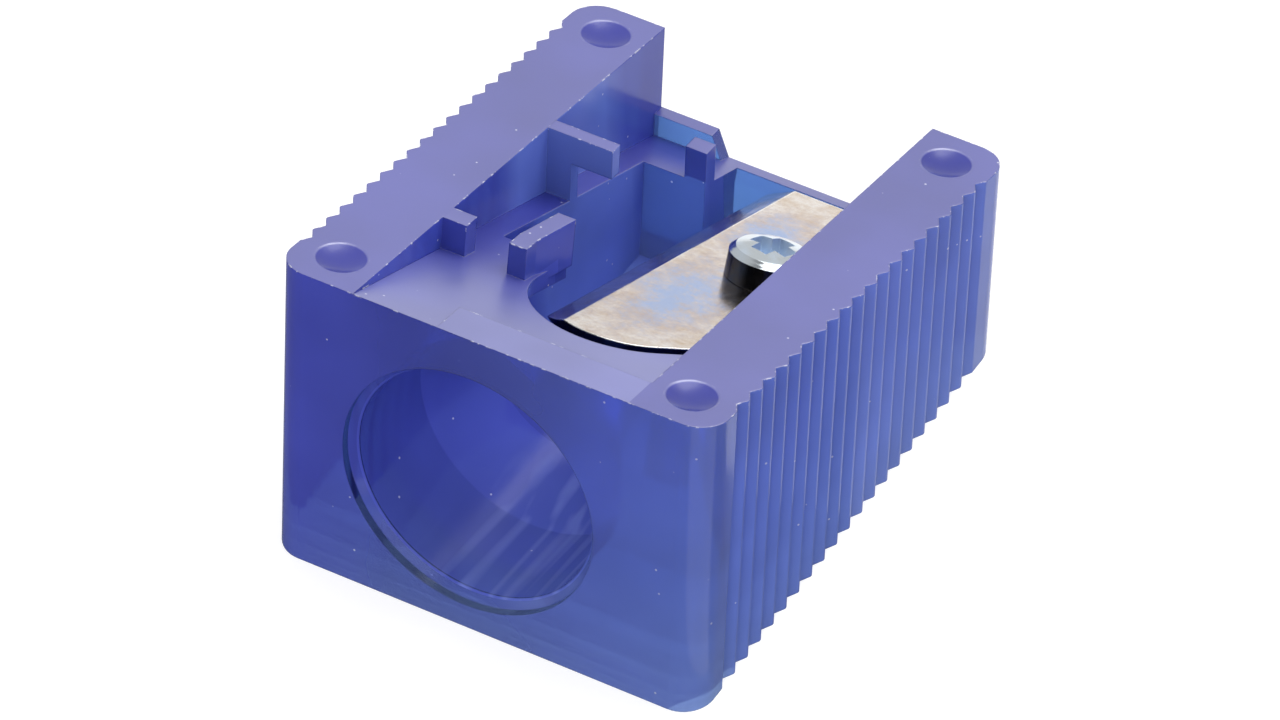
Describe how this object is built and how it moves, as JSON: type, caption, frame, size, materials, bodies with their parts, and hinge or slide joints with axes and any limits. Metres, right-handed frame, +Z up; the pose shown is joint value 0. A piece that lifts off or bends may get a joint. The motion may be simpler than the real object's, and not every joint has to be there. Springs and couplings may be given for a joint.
{
  "type": "block pencil sharpener",
  "caption": "Wedge-shaped hand-held block sharpener for a thick pencil: ribbed moulding with a round hole and cone, a flat steel blade and its clamping screw.",
  "frame": {"origin": "centre of the level base, under the middle of the part's box", "axes": "+Z up from the base, -Y out of the pencil hole's mouth, +X towards the rail beside the blade's back"},
  "size_m": [0.0236, 0.0306, 0.0172],
  "materials": {
    "body": "moulded translucent blue",
    "blade": "ground and heat-tinted",
    "screw": "bright zinc plate"
  },
  "bodies": {
    "body": {"body": "body"},
    "blade": {"blade": "blade"},
    "screw": {"blade_screw": "screw"}
  },
  "joints": [
    {"name": "blade_lift", "type": "slide", "parent": "body", "child": "blade", "axis": [0, 0.4031, 0.9152], "range_m": [0, 0.0048]},
    {"name": "screw_turn", "type": "hinge", "parent": "blade", "child": "screw", "pos_m": [0.0049, 0.00362, 0.00966], "axis": [0, 0.4031, 0.9152], "range_deg": [0, 2161]}
  ],
  "couplings": [
    {"joint": "screw_turn", "follows": "blade_lift", "rad_per_m": 7854}
  ]
}
